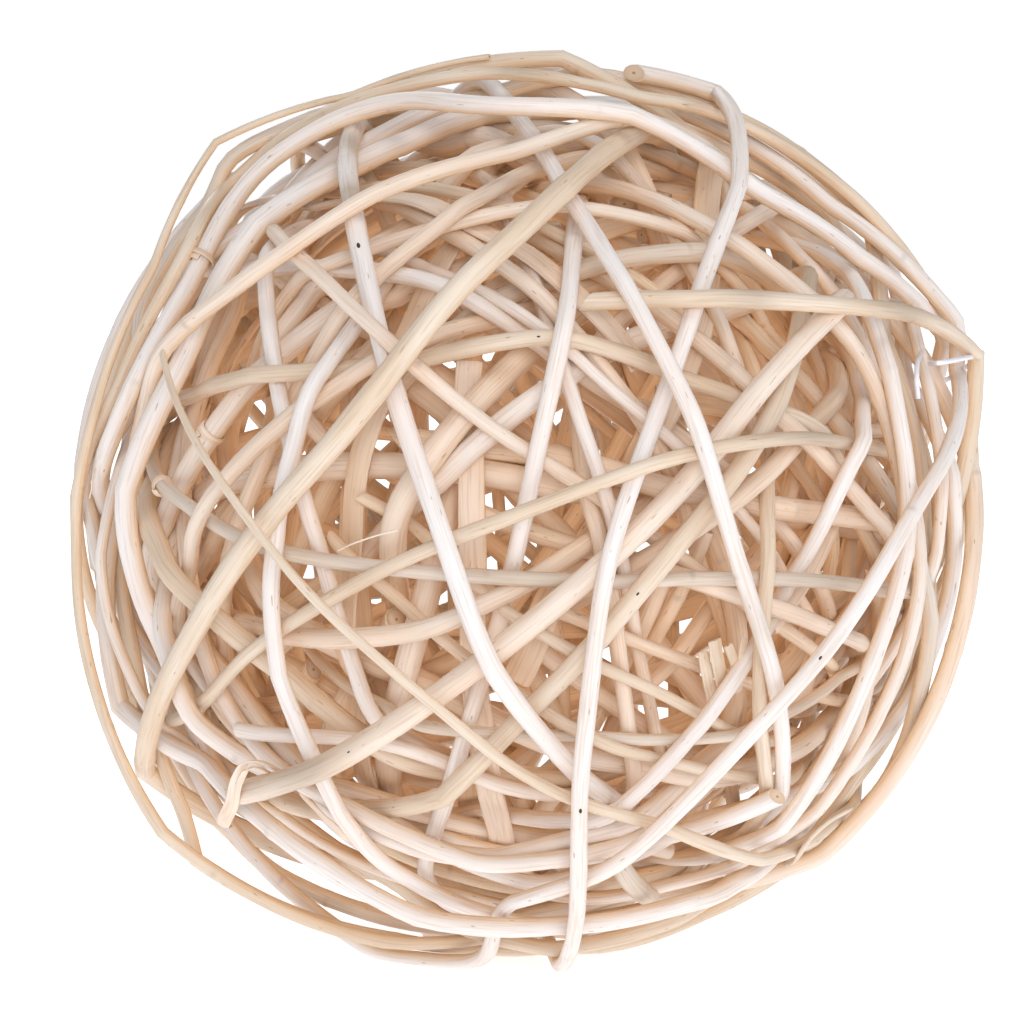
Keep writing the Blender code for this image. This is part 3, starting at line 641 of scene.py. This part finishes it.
def place_rings(points, radii, kinks, knots, slopes):
    """Where a rod gets its rings of corners, as (length along, middle, direction, mitre). A kink is
    mitred: one ring lies halfway between the two directions, stretched across the bend. The first and
    last two rings are the slanted cuts, so the next ones keep clear of them."""
    lengths = lengths_along(points)
    ends = [0, *kinks, len(points) - 1]
    sections = [(points[a:b + 1], lengths[a:b + 1]) for a, b in zip(ends, ends[1:])]
    rings = []
    room = [radii[0] * abs(slopes[0]) + END_ROOM]
    mitres = []
    for (before, before_at), (after, after_at) in zip(sections, sections[1:]):
        incoming = spline_at(before, before_at, before_at[-1])[1]
        outgoing = spline_at(after, after_at, after_at[0])[1]
        half = min(math.acos(np.clip(incoming @ outgoing, -1, 1)) / 2, math.radians(50))
        radius = float(np.interp(before_at[-1], lengths, radii))
        room.append(radius * math.tan(half) + 0.0004)
        across_bend = outgoing - incoming
        across_bend /= max(np.linalg.norm(across_bend), 1e-9)
        stretch = across_bend * (1 / math.cos(half) - 1)
        mitres.append((before_at[-1], before[-1], incoming + outgoing, stretch))
    room.append(radii[-1] * abs(slopes[1]) + END_ROOM)
    for number, (section, at_section) in enumerate(sections):
        first, last = at_section[0] + room[number], at_section[-1] - room[number + 1]
        if number == 0:
            rings += [(at, *spline_at(section, at_section, at), np.zeros(3)) for at in (0.0, END_EDGE)]
        if last > first:
            step = min(RING_STEP, 1.8 * radii[0])
            wanted = list(np.linspace(first, last, max(2, round((last - first) / step) + 1)))
            for knot_at, *_ in knots:
                wanted += [knot_at + off for off in KNOT_RINGS if first < knot_at + off < last]
            wanted.sort()
            wanted = [wanted[0]] + [at for before, at in zip(wanted, wanted[1:]) if at - before > 0.0003]
            rings += [(at, *spline_at(section, at_section, at), np.zeros(3)) for at in wanted]
        if number < len(mitres):
            at, middle, along, stretch = mitres[number]
            rings.append((at, middle, along / np.linalg.norm(along), stretch))
        else:
            cut = at_section[-1] - END_EDGE, at_section[-1]
            rings += [(at, *spline_at(section, at_section, at), np.zeros(3)) for at in cut]
    return rings


def ring_frames(rings, about):
    """Each ring's two cross directions: across the rod, and away from the middle that it lies about."""
    frames = []
    aside = None
    for _, middle, along, _ in rings:
        settled = np.cross(along, middle - about)
        settled /= np.linalg.norm(settled)
        aside = settled if aside is None else aside * 0.7 + settled * 0.3
        aside = aside - along * (aside @ along)
        aside /= np.linalg.norm(aside)
        frames.append((aside, np.cross(aside, along)))
    return frames


def knots_along(whole, chance):
    """Knots along a rod: (length along, side, height, darkness)."""
    knots = []
    at = chance.uniform(0.01, 0.06)
    while at < whole - 0.01:
        side, height = chance.uniform(0, math.tau), chance.uniform(0.03, 0.12)
        knots.append((at, side, height, chance.uniform(0.0, 0.35)))
        at += chance.uniform(*KNOT_SPACING)
    return knots


def nearest_length(points, across, down):
    """The length along a route at which the front view shows it nearest to a pixel."""
    return float(lengths_along(points)[nearest_seen(points, across, down)[0]])


def mesh_from(body, name, materials):
    """A smooth-shaded mesh of a finished body, which is freed."""
    mesh = bpy.data.meshes.new(name)
    body.to_mesh(mesh)
    body.free()
    for material in materials:
        mesh.materials.append(material)
    mesh.shade_smooth()
    return mesh


def add_object(name, data):
    thing = bpy.data.objects.new(name, data)
    bpy.context.collection.objects.link(thing)
    return thing


def make_rod(name, points, radii, kinks, finish, chance, kind="rod", about=(0, 0, 0)):
    """A rod, strip or wire as a closed mesh, from points given from the ball's middle. It starts as a
    straight one along Z, whose rings are then set along the route. Two attributes go with it:
    straight_place, each corner's place in the straight rod for the grain, and tone, how stained it is,
    how much painted shade it gets for lying deep in the ball or facing its middle, and how scarred it is."""
    lengths = lengths_along(points)
    whole = lengths[-1]
    knots = knots_along(whole, chance) if kind == "rod" else []
    slopes = (chance.uniform(-1.1, 1.1), chance.uniform(-1.3, 1.3)) if kind == "rod" else (0, 0)
    rings = place_rings(points, radii, kinks, knots, slopes)
    body = bmesh.new()
    bmesh.ops.create_cone(body, cap_ends=True, cap_tris=False, segments=ROD_SIDES, radius1=1, radius2=1,
                          depth=len(rings) - 1, matrix=Matrix.Translation((0, 0, (len(rings) - 1) / 2)))
    sides = [edge for edge in body.edges if abs(edge.verts[0].co.z - edge.verts[1].co.z) > 0.5]
    bmesh.ops.subdivide_edges(body, edges=sides, cuts=len(rings) - 2, use_grid_fill=True)
    body.verts.ensure_lookup_table()

    straight = np.array([vert.co for vert in body.verts])
    ring = np.rint(straight[:, 2]).astype(int)
    angle = np.arctan2(straight[:, 1], straight[:, 0])
    a, b = np.cos(angle), np.sin(angle)
    at = np.array([place[0] for place in rings])[ring]
    middle = np.array([place[1] for place in rings])[ring]
    along = np.array([place[2] for place in rings])[ring]
    stretch = np.array([place[3] for place in rings])[ring]
    frames = ring_frames(rings, about)
    aside = np.array([pair[0] for pair in frames])[ring]
    outward = np.array([pair[1] for pair in frames])[ring]
    radius = np.interp(at, lengths, radii)

    # The cross-section: nearly round for a rod, flat with rounded edges for a split strip
    if kind == "strip":
        twist = chance.uniform(0, math.pi) + at * chance.uniform(-6, 6)
        wide, high = 1 / math.sqrt(STRIP_THICKNESS), math.sqrt(STRIP_THICKNESS)
        p, q = np.sign(a) * np.abs(a)**0.6 * wide, np.sign(b) * np.abs(b)**0.8 * high
        twist = 0.35 * np.sin(twist)
        a_side, b_side = p * np.cos(twist) - q * np.sin(twist), p * np.sin(twist) + q * np.cos(twist)
    else:
        lean, oval = chance.uniform(0, math.pi), chance.uniform(0.92, 1.0)
        p = a * math.cos(lean) + b * math.sin(lean)
        q = (b * math.cos(lean) - a * math.sin(lean)) * oval
        a_side, b_side = p * math.cos(lean) - q * math.sin(lean), p * math.sin(lean) + q * math.cos(lean)

    # Slight swellings, knots and the drawn-in edge of the cut ends
    phases = [chance.uniform(0, math.tau) for _ in range(4)]
    uneven = 0.0 if kind == "wire" else 1.0
    swell = 1 + uneven * (0.02 * np.sin(at * 90 + phases[0]) + 0.012 * np.sin(at * 210 + phases[1]))
    swell += uneven * 0.014 * np.sin(at * 130 + 2 * angle + phases[2])
    scarred = np.zeros(len(at))
    for knot_at, side, height, darkness in knots:
        away = np.minimum(((at - knot_at) / KNOT_LENGTH)**2, 30)
        facing = np.maximum(np.cos(angle - side), 0)
        swell += height * (0.4 + 0.6 * facing) * np.exp(-away)
        scarred = np.maximum(scarred, darkness * np.exp(-3 * away) * facing**6)
    last = len(rings) - 1
    swell = np.where((ring == 0) | (ring == last), swell * 0.90, swell)
    slant = np.where(ring < 2, slopes[0], 0) + np.where(ring > last - 2, slopes[1], 0)

    offset = (aside * a_side[:, None] + outward * b_side[:, None]) * (radius * swell)[:, None]
    sway = 0.00035 * uneven * np.sin(at * 70 + phases[3])[:, None] * aside
    spots = middle + offset + stretch * (offset * stretch).sum(axis=1)[:, None] / np.maximum(
        (stretch * stretch).sum(axis=1), 1e-12)[:, None] * np.linalg.norm(stretch, axis=1)[:, None]
    spots += sway + along * (slant * a * radius)[:, None]

    # How stained each corner is, and its painted shade: browner the deeper it lies in the ball and the
    # more it faces the ball's middle, standing in for the warm shade inside the weave
    stained = np.zeros(len(at))
    for across, down, reach in STAINS.get(name, []):
        stained = np.maximum(stained, np.exp(-((at - nearest_length(points, across, down)) / reach)**2))
    for _ in range(int(chance.uniform(0, 1.0) * whole / 0.2)):
        centre, reach = chance.uniform(0, whole), chance.uniform(0.004, 0.02)
        stained = np.maximum(stained, chance.uniform(0.1, 0.6) * np.exp(-((at - centre) / reach)**2))
    distance = np.linalg.norm(spots, axis=1)
    # Painted shade: a corner deep in the ball or facing its middle is marked for browning
    depth = np.clip((BALL_RADIUS - distance - PAINTED_SHADE_FROM) / PAINTED_SHADE_OVER, 0, 1)
    facing_in = -(offset * spots).sum(axis=1) / (np.linalg.norm(offset, axis=1) * distance)
    painted_inside_shade = np.clip(0.75 * depth + np.clip(facing_in + 0.25, 0, 1), 0, 1)

    grain = body.verts.layers.float_vector.new("straight_place")
    tone = body.verts.layers.float_vector.new("tone")
    shift = chance.uniform(0, 40)
    spots = spots + BALL_MIDDLE
    for vert, spot, *values in zip(body.verts, spots, a_side * radius, b_side * radius, at + shift,
                                   stained, painted_inside_shade, scarred):
        vert.co = (spot[0], spot[1], max(spot[2], 0.0))
        vert[grain] = values[:3]
        vert[tone] = values[3:]
    for face in body.faces:
        face.material_index = 1 if len(face.verts) > 4 else 0
    bmesh.ops.recalc_face_normals(body, faces=body.faces)
    mesh = mesh_from(body, name, finish)
    mesh.set_sharp_from_angle(angle=SHARP_EDGE)
    return add_object(name if kind == "wire" else f"willow_{name}", mesh)


def make_scar(name, points, radii, across, down, length, material):
    """A small dark bud scar: a flat oval that lies in the side of the rod which the front view shows."""
    n = min(max(nearest_seen(points, across, down)[0], 1), len(points) - 2)
    along = Vector(points[n + 1] - points[n - 1]).normalized()
    to_eye = Vector(-VIEW_FORWARD * VIEW_DISTANCE - points[n])
    outward = (to_eye - along * to_eye.dot(along)).normalized()
    turn = Matrix((along, along.cross(outward), outward)).transposed().to_4x4()
    middle = Vector(points[n] + BALL_MIDDLE) + outward * radii[n] * 0.99
    flat = Matrix.Diagonal((length / 2, length / 4, 0.0002, 1))
    body = bmesh.new()
    bmesh.ops.create_uvsphere(body, u_segments=12, v_segments=8, radius=1,
                              matrix=Matrix.Translation(middle) @ turn @ flat)
    return add_object(name, mesh_from(body, name, [material]))


# Finishes

def node_of(tree, kind, **values):
    node = tree.nodes.new(kind)
    for key, value in values.items():
        setattr(node, key, value)
    return node


def ramp_of(tree, factor, stops):
    """A colour ramp on a factor, through (position, colour) stops."""
    stops = list(stops)
    ramp = tree.nodes.new("ShaderNodeValToRGB")
    band = ramp.color_ramp
    band.elements[0].position, band.elements[0].color = stops[0]
    band.elements[1].position, band.elements[1].color = stops[-1]
    for position, colour in stops[1:-1]:
        element = band.elements.new(position)
        element.color = colour
    tree.links.new(factor, ramp.inputs["Fac"])
    return ramp.outputs["Color"]


def noise_on(tree, place, stretch, detail, rough=0.5):
    """Noise on the straight rod's place, in repeats a metre across and along the rod."""
    mapping = node_of(tree, "ShaderNodeMapping")
    mapping.inputs["Scale"].default_value = stretch
    noise = node_of(tree, "ShaderNodeTexNoise")
    noise.inputs["Scale"].default_value = 1.0
    noise.inputs["Detail"].default_value = detail
    noise.inputs["Roughness"].default_value = rough
    tree.links.new(place, mapping.inputs["Vector"])
    tree.links.new(mapping.outputs["Vector"], noise.inputs["Vector"])
    return noise.outputs["Fac"]


def feed(tree, socket, value):
    """Links a socket to another node's output, or gives it a plain value."""
    if hasattr(value, "is_linked"):
        tree.links.new(value, socket)
    else:
        socket.default_value = value


def mix_colours(tree, share, first, second, kind="MIX"):
    mix = node_of(tree, "ShaderNodeMix", data_type="RGBA", blend_type=kind)
    for socket, value in ((mix.inputs[0], share), (mix.inputs[6], first), (mix.inputs[7], second)):
        feed(tree, socket, value)
    return mix.outputs[2]


def sum_of(tree, kind, first, second):
    """A Math node on two factors, kept between 0 and 1."""
    node = node_of(tree, "ShaderNodeMath", operation=kind, use_clamp=True)
    for socket, value in zip(node.inputs, (first, second)):
        feed(tree, socket, value)
    return node.outputs[0]


def new_finish(name, roughness, specular=None):
    """A new material, its node tree and its surface shader."""
    material = bpy.data.materials.new(name)
    material.use_nodes = True
    shader = material.node_tree.nodes["Principled BSDF"]
    shader.inputs["Roughness"].default_value = roughness
    if specular is not None:
        shader.inputs["Specular IOR Level"].default_value = specular
    return material, material.node_tree, shader


def willow(name, pale, warm):
    """Peeled willow: a pale ground with fine lengthwise grain, with painted shade that browns it towards
    the ball's inside and on sides facing the middle, greyish stained stretches, short brown flecks and
    dark bud scars."""
    material, tree, shader = new_finish(name, 0.46, 0.42)
    place = node_of(tree, "ShaderNodeAttribute", attribute_name="straight_place").outputs["Vector"]
    tones = node_of(tree, "ShaderNodeSeparateXYZ")
    tone = node_of(tree, "ShaderNodeAttribute", attribute_name="tone").outputs["Vector"]
    tree.links.new(tone, tones.inputs[0])
    stained, painted_inside_shade, scarred = tones.outputs

    patches = noise_on(tree, place, (120, 120, 26), 1.0)
    warm_share = ramp_of(tree, patches, zip((0.36, 0.64), OFF_TO_ON))
    ground = mix_colours(tree, warm_share, pale, warm)
    rough_stain = sum_of(tree, "MULTIPLY", stained, sum_of(tree, "ADD", patches, 0.35))
    ground = mix_colours(tree, rough_stain, ground, STAIN_COLOUR)
    # Painted shade: the ground turns warm brown deep in the ball and on sides facing its middle
    ground = mix_colours(tree, painted_inside_shade, ground, PAINTED_SHADE_COLOUR)

    streaks = noise_on(tree, place, (1500, 1500, 60), 1.0)
    streak_colours = [(0.30, (0.83, 0.74, 0.66, 1)), (0.48, (1, 1, 1, 1)), (0.7, (1.04, 1.04, 1.05, 1))]
    ground = mix_colours(tree, 0.6, ground, ramp_of(tree, streaks, streak_colours), "MULTIPLY")

    specks = noise_on(tree, place, (1300, 1300, 260), 0.0)
    flecks = ramp_of(tree, specks, zip((0.80, 0.86), OFF_TO_ON))
    scar_edge = sum_of(tree, "MULTIPLY", scarred, sum_of(tree, "ADD", streaks, 0.45))
    ground = mix_colours(tree, sum_of(tree, "MULTIPLY", flecks, 0.6), ground, FLECK_COLOUR)
    ground = mix_colours(tree, scar_edge, ground, SCAR_COLOUR)
    tree.links.new(ground, shader.inputs["Base Color"])
    return material


def cut_wood():
    """The cut end of a rod: tan end grain, darker at the rim, round a small brown pith."""
    material, tree, shader = new_finish("cut_willow", 0.8)
    place = node_of(tree, "ShaderNodeAttribute", attribute_name="straight_place").outputs["Vector"]
    flat_place = node_of(tree, "ShaderNodeVectorMath", operation="MULTIPLY")
    flat_place.inputs[1].default_value = (1, 1, 0)
    tree.links.new(place, flat_place.inputs[0])
    off_pith = node_of(tree, "ShaderNodeVectorMath", operation="LENGTH")
    tree.links.new(flat_place.outputs[0], off_pith.inputs[0])
    share = sum_of(tree, "MULTIPLY", off_pith.outputs["Value"], 300)
    rings = [(0.10, (0.45, 0.29, 0.17, 1)), (0.18, (0.80, 0.64, 0.48, 1)), (0.70, (0.76, 0.58, 0.42, 1)),
             (0.95, (0.62, 0.45, 0.31, 1))]
    tree.links.new(ramp_of(tree, share, rings), shader.inputs["Base Color"])
    return material


def plain(name, colour, roughness):
    material, _, shader = new_finish(name, roughness)
    shader.inputs["Base Color"].default_value = colour
    return material


# The room

def white_room():
    world = bpy.data.worlds.new("studio")
    bpy.context.scene.world = world
    world.use_nodes = True
    tree = world.node_tree
    lighting = tree.nodes["Background"]
    lighting.inputs["Color"].default_value = (1.0, 1.0, 1.0, 1)
    lighting.inputs["Strength"].default_value = ROOM_LIGHT
    backdrop = node_of(tree, "ShaderNodeBackground")
    backdrop.inputs["Strength"].default_value = BACKDROP_BRIGHTNESS
    seen = node_of(tree, "ShaderNodeLightPath").outputs["Is Camera Ray"]
    either = node_of(tree, "ShaderNodeMixShader")
    tree.links.new(seen, either.inputs[0])
    tree.links.new(lighting.outputs[0], either.inputs[1])
    tree.links.new(backdrop.outputs[0], either.inputs[2])
    tree.links.new(either.outputs[0], tree.nodes["World Output"].inputs["Surface"])

    bpy.ops.mesh.primitive_plane_add(size=200, location=(0, 0, -0.0002))
    floor = bpy.context.object
    floor.name = "floor"
    paper, _, shader = new_finish("floor_paper", 0.9, 0.1)
    shader.inputs["Base Color"].default_value = (0.90, 0.90, 0.91, 1)
    shader.inputs["Emission Color"].default_value = (1.0, 1.0, 1.0, 1)
    shader.inputs["Emission Strength"].default_value = FLOOR_GLOW
    floor.data.materials.append(paper)


def lamp(name, place, size, power):
    light = bpy.data.lights.new(name, "AREA")
    light.shape = "DISK"
    light.size = size
    light.energy = power
    holder = add_object(name, light)
    holder.location = place
    holder.rotation_mode = "QUATERNION"
    holder.rotation_quaternion = (Vector(BALL_MIDDLE) - Vector(place)).to_track_quat("-Z", "Y")


def inside_fill():
    """A weak soft light in the ball's empty middle, for the light that the studio throws in all round."""
    light = bpy.data.lights.new("inside_fill", "POINT")
    light.energy = INSIDE_FILL_POWER
    light.color = (1.0, 0.95, 0.90)
    light.shadow_soft_size = INSIDE_FILL_SIZE
    holder = add_object("inside_fill", light)
    holder.location = BALL_MIDDLE
    holder.visible_camera = False


def set_camera():
    data = bpy.data.cameras.new("camera")
    data.sensor_width = 36
    data.lens = VIEW_FOCAL / VIEW_WIDTH * 36
    data.shift_x = -(VIEW_MIDDLE[0] - VIEW_WIDTH / 2) / VIEW_WIDTH
    camera = add_object("camera", data)
    camera.location = Vector(BALL_MIDDLE) - Vector(VIEW_FORWARD) * VIEW_DISTANCE
    camera.rotation_mode = "QUATERNION"
    camera.rotation_quaternion = Vector(VIEW_FORWARD).to_track_quat("-Z", "Y")
    bpy.context.scene.camera = camera


# Making the ball

def main():
    bpy.context.scene.view_settings.view_transform = "Standard"
    end_grain = cut_wood()
    white = willow("willow_white", (0.83, 0.79, 0.78, 1), (0.83, 0.75, 0.71, 1))
    pale = willow("willow_pale", (0.82, 0.75, 0.71, 1), (0.81, 0.69, 0.61, 1))
    cream = willow("willow_cream", (0.81, 0.70, 0.61, 1), (0.78, 0.62, 0.50, 1))
    tan = willow("willow_tan", (0.75, 0.64, 0.53, 1), (0.69, 0.55, 0.42, 1))
    greyed = willow("willow_greyed", (0.70, 0.62, 0.55, 1), (0.63, 0.53, 0.44, 1))
    finish_of = {**{name: white for name in WHITE_RODS}, **{name: tan for name in TAN_RODS},
                 **{name: greyed for name in GREYED_RODS}}
    chance = random.Random(3)
    weave = Weave(lay_out_rods())
    weave.spring()
    bud_scar = plain("bud_scar", (0.05, 0.035, 0.025, 1), 0.8)
    for name, points, radii, kinks in weave.chains():
        finish = (finish_of.get(name, chance.choice([pale, pale, cream, cream, white, tan])), end_grain)
        rod = make_rod(name, points, radii, kinks, finish, chance, "strip" if "strip" in name else "rod")
        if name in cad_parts:
            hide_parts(name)
        fittings = [rod]
        for number, (across, down, length) in enumerate(SCARS.get(name, []), 1):
            scar = f"{name}_scar_{number}"
            fittings.append(make_scar(scar, points, radii, across, down, length, bud_scar))
        for piece in fittings:
            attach(piece, "root")
    strips = [(name, *laid_by_eye(*laid), (0, 0, 0)) for name, laid in {**LOOSE_STRIPS, **FIBRES}.items()]
    rods = [(points, radii) for _, points, radii, _ in weave.chains()]
    strips += [(name, *wrapped_round(rods, *place)) for name, place in WRAPS.items()]
    for name, points, radii, about in strips:
        finish = (tan if "frayed" in name or "torn" in name else cream, end_grain)
        kind = "strip" if "strip" in name else "rod"
        strip = make_rod(name, points, radii, [], finish, chance, kind, about)
        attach(strip, "root")
    coating = plain("white_wire_coating", (0.82, 0.82, 0.90, 1), 0.3)
    points, radii = laid_by_eye(WIRE_DIAMETER, WIRE_ROUTE)
    wire = make_rod("coated_tie_wire", points, radii, [], (coating, coating), chance, "wire")
    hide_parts("tie_wire")
    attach(wire, "root")
    white_room()
    lamp("front_light", (0.15, -1.5, 0.65), 0.7, 7.2)
    lamp("top_light", (0.2, -0.8, 1.9), 1.0, 8)
    lamp("right_light", (1.6, -0.9, 0.7), 0.9, 3)
    lamp("back_light", (-0.5, 1.6, 1.0), 1.2, 9)
    inside_fill()
    set_camera()


main()
